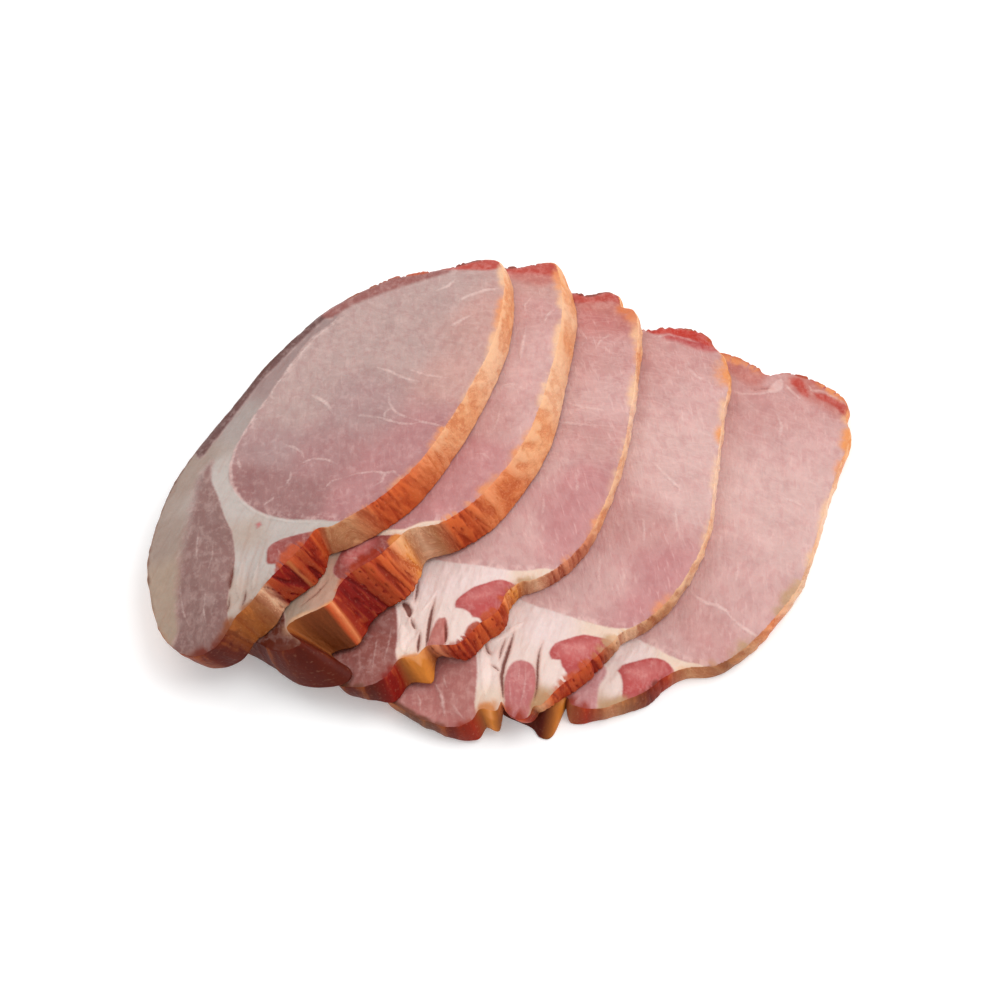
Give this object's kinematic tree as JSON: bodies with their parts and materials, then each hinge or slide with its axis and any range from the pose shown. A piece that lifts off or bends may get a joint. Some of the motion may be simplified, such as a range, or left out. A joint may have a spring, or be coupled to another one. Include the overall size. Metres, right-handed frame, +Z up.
{
  "type": "sliced smoked pork loin",
  "caption": "Cured and smoked pork loin cut into thick slices that lie shingled, each with a pink eye muscle, white fat seams and a golden brown smoked rim.",
  "frame": {"origin": "middle of the plan box, on the surface that the slices lie on", "axes": "+Z up, +X from the top slice towards the lowest one, +Y towards the far corners of the eye muscles"},
  "size_m": [0.207, 0.1632, 0.0325],
  "materials": {
    "slice_1": "moist cut meat",
    "slice_2": "moist cut meat",
    "slice_3": "moist cut meat",
    "slice_4": "moist cut meat",
    "slice_5": "moist cut meat"
  },
  "bodies": {
    "root": {"slice_1": "slice_1", "slice_2": "slice_2", "slice_3": "slice_3", "slice_4": "slice_4", "slice_5": "slice_5"}
  },
  "joints": []
}
